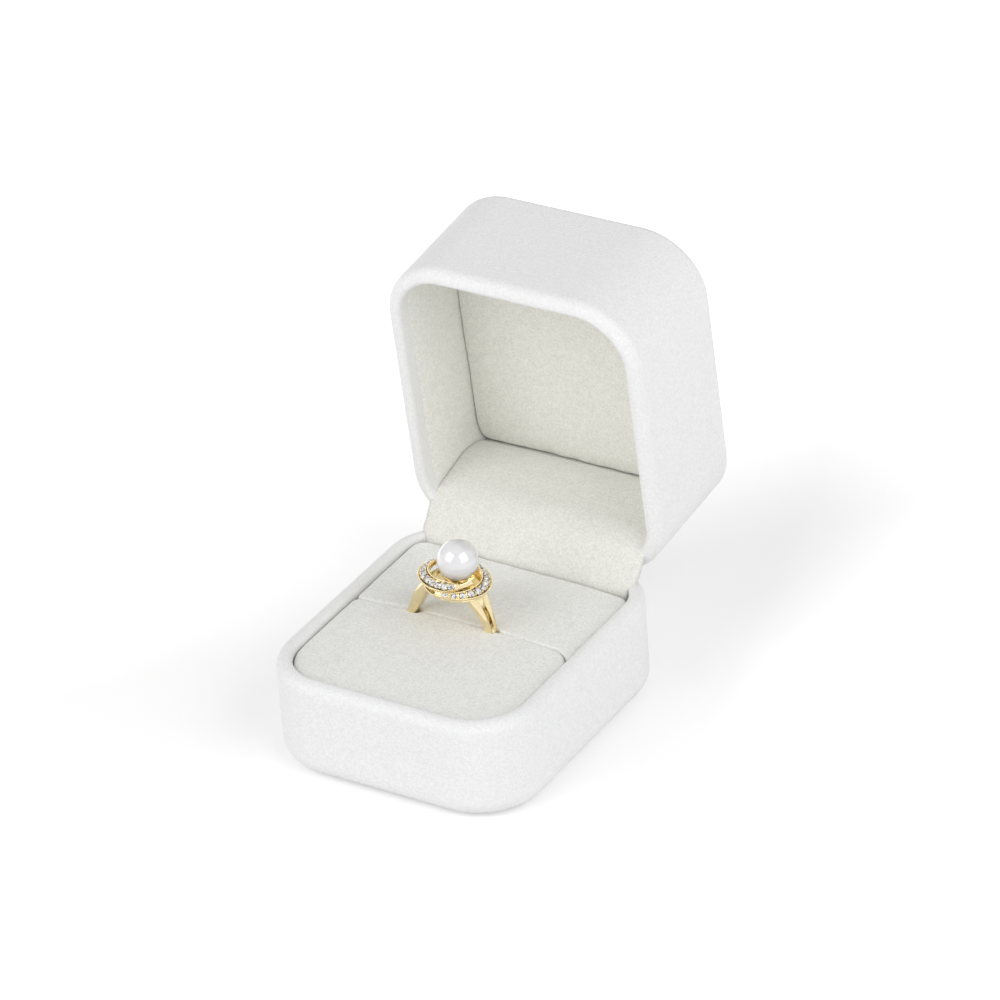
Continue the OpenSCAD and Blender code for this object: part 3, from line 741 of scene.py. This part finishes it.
def make_lining():
    """Velvet strip round the inside of the lid's walls."""
    low = LID_RIM_Z + LID_TURN_IN
    x, y = HALF_W - WALL_T, HALF_D - WALL_T
    front, rear = FRONT_R - WALL_T, REAR_R - WALL_T
    outline = rounded_outline(-x, x, -y, y, (rear, rear, front, front), 0.6)
    rows = 16
    heights = [0.0, 0.08, 0.25] + [0.25 + (CEILING_Z - low - 0.35) * k / rows for k in range(1, rows + 1)]
    sunk = [0.3, 0.1, 0.02] + [0.0] * rows
    rings = []
    for rise, back in zip(heights, sunk):
        rings.append([(p + n * back, low + rise) for p, n in outline])
    for rise in reversed(heights):
        rings.append([(p + n * (SKIN_T - 0.1), low + rise) for p, n in outline])
    points = []
    for k, ring in enumerate(rings):
        for (p, z), (_, n) in zip(ring, outline):
            soft = 0.05 * ripple((*p, z), 5, 51) + 0.02 * ripple((*p, z), 1.6, 55) if k < len(heights) else 0
            q = p + n * soft
            points.append(LID_TURN @ Vector((*q, z)))
    faces = ring_faces(len(rings), len(outline), wrap=True)
    piece = mesh_object("lid_lining_velvet", points, faces, VELVET_LINING)
    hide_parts("lid_lining")
    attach(piece, "lid")


# ---- ring ----------------------------------------------------------------

RING_PLACE = Matrix.Translation(Vector((RING_X, SLIT_Y, RING_Z))) @ Matrix.Rotation(RING_LEAN, 4, "Y")
HALO_TILT = math.radians(-3.5)
HALO_PLACE = (RING_PLACE @ Matrix.Translation(Vector((-HALO_LEFT, 0, HALO_Z)))
              @ Matrix.Rotation(HALO_TILT, 4, "X"))
# Superellipse power of a bar's section: small for square edges, 1 for an ellipse
BAR_CORNER = 0.55


def bar(path, sizes):
    """A bar swept along path. sizes are (thickness across the path and Y, width along Y)."""
    per = 20
    points = []
    for i, (at, (thick, wide)) in enumerate(zip(path, sizes)):
        way = (path[min(i + 1, len(path) - 1)] - path[max(i - 1, 0)]).normalized()
        out = Vector((way.z, 0, -way.x)).normalized()
        along = way.cross(out).normalized()
        for k in range(per):
            a = 2 * math.pi * k / per
            c, s = math.cos(a), math.sin(a)
            u = squared(c, BAR_CORNER) * thick / 2
            v = squared(s, BAR_CORNER) * wide / 2
            points.append(at + out * u + along * v)
    return points, ring_faces(len(path), per)


def joined(parts):
    """Several (points, faces) as one."""
    points, faces = [], []
    for more_points, more_faces in parts:
        start = len(points)
        points += more_points
        faces += [tuple(i + start for i in face) for face in more_faces]
    return points, faces


FORK_ANGLE = 36
PRONG_W = (0.76, 1.08, 2.5)
PRONG_Y = (0.62, 1.0, 1.6)
SHOULDER_IN = 1.45
SHOULDER_UP = -0.5
SEAT_IN = 1.7
# The left shoulder stands further out than the fork, and its knee a little higher
LEFT_OUT = 0.6
LEFT_KNEE_UP = 0.3
LEFT_SEAT_OUT = 0.9
FORK_FOOT = 0.45
BRIDGE_AT = (0.66, 0.84)
BRIDGE_R = 0.42
# Web of the fork: share of the way up (1 at the knee), how far back, thickness, width
WEB = ((0.5, 0.45, 0.3, 1.0), (1.0, 0.45, 0.3, 1.1), (1.3, 0.42, 0.3, 1.2), (1.38, 0.1, 1.0, 1.3),
       (1.5, 0.0, 1.2, 1.5), (1.75, 0.0, 1.2, 1.8), (1.98, 0.0, 1.2, 2.2))


def on_shank(angle, y=0.0):
    r = FINGER_R + SHANK_T / 2
    return Vector((r * math.cos(math.radians(angle)), y, r * math.sin(math.radians(angle))))


def plain_side(root, knee, seat):
    """The hoop from the fork's root round to the left, and the plain shoulder up to the rail."""
    steps = 110
    path, sizes = [], []
    for k in range(steps + 1):
        turn = FORK_ANGLE - (180 + 2 * FORK_ANGLE) * k / steps
        out = LEFT_OUT * smoothstep(-turn, 180 - 30, 180 + FORK_ANGLE)
        path.append(on_shank(turn) - Vector((out, 0, 0)))
        sizes.append((SHANK_T, SHANK_W))
    outer = [root + Vector((LEFT_OUT, 0, 0)), knee + Vector((LEFT_OUT, 0, LEFT_KNEE_UP)),
             seat + Vector((LEFT_SEAT_OUT, 0, 0))]
    left = curve_through([Vector((-p.x, 0, p.z)) for p in outer], 12)
    for k, p in enumerate(left[1:], 1):
        f = k / (len(left) - 1)
        path.append(p)
        sizes.append((SHANK_T * (1 + 0.45 * math.sin(math.pi * f) - 0.15 * f),
                      SHANK_W * (1 + 0.15 * math.sin(math.pi * f) + 0.9 * f)))
    return bar(path, sizes)


def fork(root, knee, seat):
    """The right shoulder: its foot, two prongs, the bridge between them and the web behind."""
    foot = [on_shank(FORK_ANGLE - 4), root, root.lerp(knee, FORK_FOOT / 2), root.lerp(knee, FORK_FOOT)]
    foot_sizes = [(SHANK_T * 0.98, SHANK_W * 0.98)] * 2 + [(SHANK_T * 0.92, 1.7), (SHANK_T * 0.86, 1.4)]
    parts = [bar(foot, foot_sizes)]
    for side in (-1, 1):
        stops = [on_shank(FORK_ANGLE - 8, side * PRONG_Y[0])]
        stops += [p + Vector((0, side * y, 0)) for p, y in zip((root, knee, seat), PRONG_Y)]
        prong = curve_through(stops, 12)
        spread = curve_through([Vector((w, 0)) for w in (PRONG_W[0],) + PRONG_W], 12)
        thick = [SHANK_T * (1 - 0.4 * k / (len(prong) - 1)) for k in range(len(prong))]
        parts.append(bar(prong, [(t, w.x) for t, w in zip(thick, spread)]))
    for share in (BRIDGE_AT[0], sum(BRIDGE_AT) / 2, BRIDGE_AT[1]):
        y = PRONG_Y[1] + share * (PRONG_Y[2] - PRONG_Y[1]) + 0.2
        across = [knee.lerp(seat, share) + Vector((0, y * k, 0)) for k in (-1, -0.5, 0, 0.5, 1)]
        parts.append(cross_bar(across, BRIDGE_R))
    web, web_sizes = [], []
    for share, back, thick, wide in WEB:
        at = root.lerp(knee, share) if share < 1 else knee.lerp(seat, share - 1)
        web.append(at - Vector((back, 0, 0)))
        web_sizes.append((thick, wide))
    return parts + [bar(web, web_sizes)]


def make_shank():
    """Polished shank: a plain left shoulder, a forked right one, and the rail under the head."""
    root = on_shank(FORK_ANGLE)
    knee = Vector((root.x - SHOULDER_IN, 0, (root.z + RAIL_Z) / 2 + SHOULDER_UP))
    seat = Vector((HALO_R - SEAT_IN, 0, RAIL_Z - 0.42))
    points, faces = joined([plain_side(root, knee, seat), *fork(root, knee, seat), rail(), dish()])
    piece = mesh_object("ring_shank_gold", [RING_PLACE @ Vector(p) for p in points], faces, GOLD)
    finish_ring_piece(piece, "ring_shank")


def cross_bar(path, radius):
    """A round bar along Y."""
    per = 14
    points = []
    for at in path:
        for k in range(per):
            a = 2 * math.pi * k / per
            points.append(at + Vector((radius * 0.8 * math.cos(a), 0, radius * math.sin(a))))
    return points, ring_faces(len(path), per)


def squared(value, power):
    """A sine or cosine drawn out towards 1 or -1, for a section with squarer corners."""
    return math.copysign(abs(value) ** power, value)


def rail():
    """Flat ring that the head stands on."""
    per, steps = 16, 84
    inner, outer = HALO_R - SEAT_IN - 0.1, HALO_R + 0.3
    points = []
    for k in range(steps):
        turn = 2 * math.pi * k / steps
        for i in range(per):
            a = 2 * math.pi * i / per
            r = (inner + outer) / 2 + (outer - inner) / 2 * squared(math.cos(a), 0.45)
            y = r * math.sin(turn)
            z = RAIL_Z - 0.225 + 0.22 * squared(math.sin(a), 0.6)
            points.append(Vector((r * math.cos(turn), y, z + y * math.tan(HALO_TILT))))
    return points, ring_faces(steps, per, wrap=True)


# Profile of the dish: radius, and height over the rail
DISH = ((1.3, 0.02), (2.4, 0.3), (3.4, 0.55), (4.3, 0.86), (4.6, 0.8), (4.7, 0.0), (3.6, -0.1), (1.3, -0.1))


def dish():
    """Polished dish between the rail and the bands, under the pearl."""
    per = 60
    points = []
    for k in range(per):
        turn = 2 * math.pi * k / per
        for r, z in DISH:
            y = r * math.sin(turn)
            points.append(Vector((r * math.cos(turn), y, RAIL_Z + z + y * math.tan(HALO_TILT))))
    return points, ring_faces(per, len(DISH), wrap=True)


def finish_ring_piece(piece, node):
    """Puts a piece of the ring in the place of its node."""
    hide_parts(node)
    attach(piece, "ring")


# Path of a halo band. It follows the part's source, apart from a later start, a steeper climb, a
# lower tail and larger stones
BAND_FROM = -93
BAND_TO = 160
BAND_W = 2.2
BAND_SWIRL = 0.9
BAND_CLIMB = 1.1
BAND_SINK = 0.2
TAIL_FROM = 0.82
TAIL_RISE = 0.5
TAIL_W = 0.34
BAND_TILT = math.radians(32.7)
BAND_STONES = 14
STONES_FROM, STONES_TO = 0.07, 0.81
STONE_R = 0.68


def band_frame(f):
    """Middle of the band's face at f, its outward and upward directions, and half its width."""
    a = math.radians(BAND_FROM + (BAND_TO - BAND_FROM) * f)
    r = HALO_R + BAND_SWIRL * math.cos(math.pi * f)
    c, s = math.cos(BAND_TILT), math.sin(BAND_TILT)
    tail = max(0.0, (f - TAIL_FROM) / (1 - TAIL_FROM))
    z = BAND_CLIMB * (f - 0.5) - BAND_SINK + TAIL_RISE * tail ** 2
    at = Vector((r * math.cos(a), r * math.sin(a), z))
    out = Vector((math.cos(a) * c, math.sin(a) * c, -s))
    up = Vector((math.cos(a) * s, math.sin(a) * s, c))
    half = BAND_W / 2 * (0.3 + 0.7 * min(1, 3.2 * f)) * (1 - (1 - TAIL_W) * smoothstep(f, 0.74, 0.9))
    return at, out, up, half


# Section of a band: share of its half width, and height from its face
BAND_SECTION = ((-0.72, -0.80), (0.72, -0.80), (0.92, -0.70), (1.0, -0.45), (1.0, -0.05), (0.95, 0.05),
                (0.82, 0.05), (0.76, -0.03), (0.70, -0.16), (-0.70, -0.16), (-0.76, -0.03),
                (-0.82, 0.05), (-0.95, 0.05), (-1.0, -0.05), (-1.0, -0.45), (-0.92, -0.70))
# Beads milled along both edges of a band, and the prongs between its stones: how many, where across
# the half width, and how large
EDGE_BEADS = 64
EDGE_BEAD_AT = 0.9
EDGE_BEAD_R = 0.125
PRONG_BEAD_AT = 0.42
PRONG_BEAD_R = 0.15
# Points and faces of one bead, made at its first use
BALL = []
# Rows of points round a stone: share of its radius, height, turn in steps, and number of points
STONE_ROWS = ((0.55, 0.36, 0.5, 8), (0.82, 0.2, 0.0, 8), (1.0, 0.0, 0.25, 16), (1.0, -0.07, 0.25, 16),
              (0.5, -0.5, 0.5, 8))
STONE_DEPTH = 0.85


def ball(centre, radius):
    """Small round bead."""
    if not BALL:
        work = bmesh.new()
        bmesh.ops.create_icosphere(work, subdivisions=2, radius=1.0)
        BALL.append([v.co.copy() for v in work.verts])
        BALL.append([tuple(v.index for v in face.verts) for face in work.faces])
        work.free()
    return [centre + v * radius for v in BALL[0]], BALL[1]


def brilliant(at, out, up, radius, spin):
    """Round cut stone with its girdle at the point at."""
    side = up.cross(out)
    points = []
    for share, height, turn, count in STONE_ROWS:
        for k in range(count):
            a = 2 * math.pi * (k + turn) / count + spin
            points.append(at + radius * (share * (math.cos(a) * out + math.sin(a) * side) + height * up))
    points.append(at - STONE_DEPTH * radius * up)
    work = bmesh.new()
    for p in points:
        work.verts.new(p)
    bmesh.ops.convex_hull(work, input=work.verts)
    loose = [v for v in work.verts if not v.link_faces]
    bmesh.ops.delete(work, geom=loose, context="VERTS")
    work.verts.index_update()
    shape = [v.co.copy() for v in work.verts], [tuple(v.index for v in face.verts) for face in work.faces]
    work.free()
    return shape


def band_parts():
    """The band with its beaded edges and bead prongs, and its stones. Its tail is plain and polished."""
    metal, stones = [], []
    steps = 130
    points = []
    for k in range(steps + 1):
        f = k / steps
        at, out, up, half = band_frame(f)
        plain = smoothstep(f, STONES_TO + 0.01, STONES_TO + 0.05)
        for share, height in BAND_SECTION:
            height += plain * max(0.0, 0.02 - height) * (1 if height > -0.3 else 0)
            points.append(at + out * half * share + up * height)
    metal.append((points, ring_faces(steps + 1, len(BAND_SECTION))))
    for k in range(EDGE_BEADS):
        at, out, up, half = band_frame(0.01 + (STONES_TO + 0.02) * k / (EDGE_BEADS - 1))
        for side in (-1, 1):
            metal.append(ball(at + out * side * half * EDGE_BEAD_AT + up * 0.07, EDGE_BEAD_R))
    for k in range(BAND_STONES):
        f = STONES_FROM + (STONES_TO - STONES_FROM) * k / (BAND_STONES - 1)
        at, out, up, half = band_frame(f)
        size = STONE_R * (0.55 + 0.45 * half / (BAND_W / 2))
        stones.append(brilliant(at + up * 0.02, out, up, size, k * 0.7))
        if k:
            at, out, up, half = band_frame(f - 0.5 * (STONES_TO - STONES_FROM) / (BAND_STONES - 1))
            for side in (-1, 1):
                metal.append(ball(at + out * side * half * PRONG_BEAD_AT + up * 0.05, PRONG_BEAD_R))
    return joined(metal), joined(stones)


def make_halo():
    """Two equal bands, half a turn apart, each with its stones."""
    metal, stones = band_parts()
    for name, turn in (("right", 0), ("left", math.pi)):
        place = HALO_PLACE @ Matrix.Rotation(turn, 4, "Z")
        band = mesh_object(f"halo_band_{name}_gold", [place @ p for p in metal[0]], metal[1], GOLD_BRIGHT)
        finish_ring_piece(band, f"halo_band_{name}")
        gems = mesh_object(f"stones_{name}_cut", [place @ p for p in stones[0]], stones[1], GEM, smooth=False)
        finish_ring_piece(gems, f"stones_{name}")


PEARL_UNEVEN = 0.004


def make_pearl():
    """Nearly round pearl."""
    work = bmesh.new()
    bmesh.ops.create_icosphere(work, subdivisions=5, radius=1.0)
    points = []
    for v in work.verts:
        swell = 1 + PEARL_UNEVEN * ripple(v.co, 0.9, 61)
        points.append(RING_PLACE @ (v.co * PEARL_R * swell + Vector((0, 0, PEARL_Z))))
    faces = [tuple(v.index for v in face.verts) for face in work.faces]
    work.free()
    piece = mesh_object("pearl_smooth", points, faces, PEARL)
    finish_ring_piece(piece, "pearl")


# ---- studio --------------------------------------------------------------

# Camera fitted to the photograph's outlines: angles, and distances in millimetres
CAMERA_TURN = math.radians(32.998)
CAMERA_RISE = math.radians(31.164)
CAMERA_ROLL = math.radians(-4.311)
CAMERA_BACK = 1000.576
CAMERA_SIDE = 5.603
CAMERA_UP = 37.537
FOCAL_PIXELS = 5802.62
IMAGE_PIXELS = 1000
SENSOR_MM = 36


# Softboxes: name, degrees from the front and above the floor, distance, width and height in metres,
# and power in watts
SOFTBOXES = (("softbox_left", -28, 35, 0.9, 0.58, 0.66, 2.78),
             ("softbox_right", 75.5, 35, 0.9, 0.64, 0.7, 2.98))
SOFTBOX_AIM_Z = 0.03


def direction(turn, rise):
    """Unit vector from the object, turned from the front and raised."""
    return Vector((math.sin(turn) * math.cos(rise), -math.cos(turn) * math.cos(rise), math.sin(rise)))


def make_camera():
    back = direction(CAMERA_TURN, CAMERA_RISE)
    right = Vector((math.cos(CAMERA_TURN), math.sin(CAMERA_TURN), 0))
    up = back.cross(right)
    c, s = math.cos(CAMERA_ROLL), math.sin(CAMERA_ROLL)
    right, up = c * right + s * up, c * up - s * right
    data = bpy.data.cameras.new("camera")
    data.sensor_width = SENSOR_MM
    data.sensor_fit = "HORIZONTAL"
    data.lens = FOCAL_PIXELS / IMAGE_PIXELS * SENSOR_MM
    data.clip_start, data.clip_end = 0.05, 20
    camera = bpy.data.objects.new("camera", data)
    bpy.context.scene.collection.objects.link(camera)
    place = (CAMERA_SIDE * right + CAMERA_UP * up + CAMERA_BACK * back) * MM
    turned = Matrix((right, up, back)).transposed().to_4x4()
    camera.matrix_world = Matrix.Translation(place) @ turned
    bpy.context.scene.camera = camera


def make_softbox(name, turn, rise, distance, wide, tall, power):
    data = bpy.data.lights.new(name, "AREA")
    data.shape = "RECTANGLE"
    data.size, data.size_y = wide, tall
    data.energy = power
    lamp = bpy.data.objects.new(name, data)
    bpy.context.scene.collection.objects.link(lamp)
    back = direction(turn, rise)
    place = Matrix.Translation(back * distance + Vector((0, 0, SOFTBOX_AIM_Z)))
    lamp.matrix_world = place @ back.to_track_quat("Z", "Y").to_matrix().to_4x4()


def make_lights():
    for name, turn, rise, *rest in SOFTBOXES:
        make_softbox(name, math.radians(turn), math.radians(rise), *rest)


def seen_directly(nodes, links):
    """1 for rays that show the background: from the camera, in reflections and through glass."""
    rays = nodes.new("ShaderNodeLightPath").outputs
    first = math_node(nodes, links, "MAXIMUM", rays["Is Camera Ray"], rays["Is Glossy Ray"])
    return math_node(nodes, links, "MAXIMUM", first, rays["Is Transmission Ray"])


# Brightness of the room's light at the horizon and overhead
HORIZON_LEVEL = 0.92
ZENITH_LEVEL = 0.29
FLOOR_HALF = 3.0
FLOOR_COLOUR = (0.88, 0.88, 0.88, 1)
WHITE = (1, 1, 1, 1)
# How much painted light whitens the floor: direction on the floor, start and end along it in
# metres, and the least and most that it adds. Their sum is added
FLOOR_PAINTED_LIGHT_RAMPS = (((-0.75, 0.66, 0.0), 0.035, 0.26, 0.25, 1.2),
               ((0.96, 0.27, 0.0), 0.042, 0.072, 0.0, 0.2))


def make_world():
    world = bpy.data.worlds.new("studio")
    bpy.context.scene.world = world
    world.use_nodes = True
    nodes, links = world.node_tree.nodes, world.node_tree.links
    nodes.clear()
    room = nodes.new("ShaderNodeBackground")
    room.inputs["Color"].default_value = WHITE
    height = nodes.new("ShaderNodeSeparateXYZ")
    links.new(nodes.new("ShaderNodeTexCoord").outputs["Generated"], height.inputs[0])
    fade = nodes.new("ShaderNodeMapRange")
    links.new(height.outputs["Z"], fade.inputs["Value"])
    fade.inputs["To Min"].default_value = HORIZON_LEVEL
    fade.inputs["To Max"].default_value = ZENITH_LEVEL
    links.new(fade.outputs["Result"], room.inputs["Strength"])
    white = nodes.new("ShaderNodeBackground")
    white.inputs["Color"].default_value = WHITE
    white.inputs["Strength"].default_value = 1.0
    mix = nodes.new("ShaderNodeMixShader")
    links.new(seen_directly(nodes, links), mix.inputs[0])
    links.new(room.outputs[0], mix.inputs[1])
    links.new(white.outputs[0], mix.inputs[2])
    links.new(mix.outputs[0], nodes.new("ShaderNodeOutputWorld").inputs["Surface"])


def make_floor():
    """Pale floor that keeps the shadow, with painted light that runs it to white away from the box. The
    painted light is seen by the camera, in reflections and through glass, and gives the object no light."""
    corners = [(x * FLOOR_HALF, y * FLOOR_HALF, 0) for x, y in ((-1, -1), (1, -1), (1, 1), (-1, 1))]
    mesh = bpy.data.meshes.new("floor")
    mesh.from_pydata(corners, [], [(0, 1, 2, 3)])
    floor = bpy.data.objects.new("floor", mesh)
    bpy.context.scene.collection.objects.link(floor)
    material = bpy.data.materials.new("floor")
    material.use_nodes = True
    nodes, links = material.node_tree.nodes, material.node_tree.links
    nodes.clear()
    paper_white = nodes.new("ShaderNodeBsdfDiffuse")
    paper_white.inputs["Color"].default_value = FLOOR_COLOUR
    glow = nodes.new("ShaderNodeEmission")
    glow.inputs["Color"].default_value = WHITE
    place = nodes.new("ShaderNodeTexCoord").outputs["Object"]
    ramps = []
    for side, start, end, low, high in FLOOR_PAINTED_LIGHT_RAMPS:
        away = nodes.new("ShaderNodeVectorMath")
        away.operation = "DOT_PRODUCT"
        away.inputs[1].default_value = side
        links.new(place, away.inputs[0])
        ramp = nodes.new("ShaderNodeMapRange")
        links.new(away.outputs["Value"], ramp.inputs["Value"])
        for key, value in (("From Min", start), ("From Max", end), ("To Min", low), ("To Max", high)):
            ramp.inputs[key].default_value = value
        ramps.append(ramp.outputs["Result"])
    # Painted light on the floor, shown only to direct, glossy and transmission rays
    level = math_node(nodes, links, "ADD", *ramps)
    lift = math_node(nodes, links, "MULTIPLY", seen_directly(nodes, links), level)
    links.new(lift, glow.inputs["Strength"])
    both = nodes.new("ShaderNodeAddShader")
    links.new(paper_white.outputs[0], both.inputs[0])
    links.new(glow.outputs[0], both.inputs[1])
    links.new(both.outputs[0], nodes.new("ShaderNodeOutputMaterial").inputs["Surface"])
    mesh.materials.append(material)


paint_cad_nodes()
make_pads()
make_panel()
make_flap()
make_lining()
make_shank()
make_halo()
make_pearl()
make_camera()
make_lights()
make_world()
make_floor()
bpy.context.scene.view_settings.view_transform = "Standard"
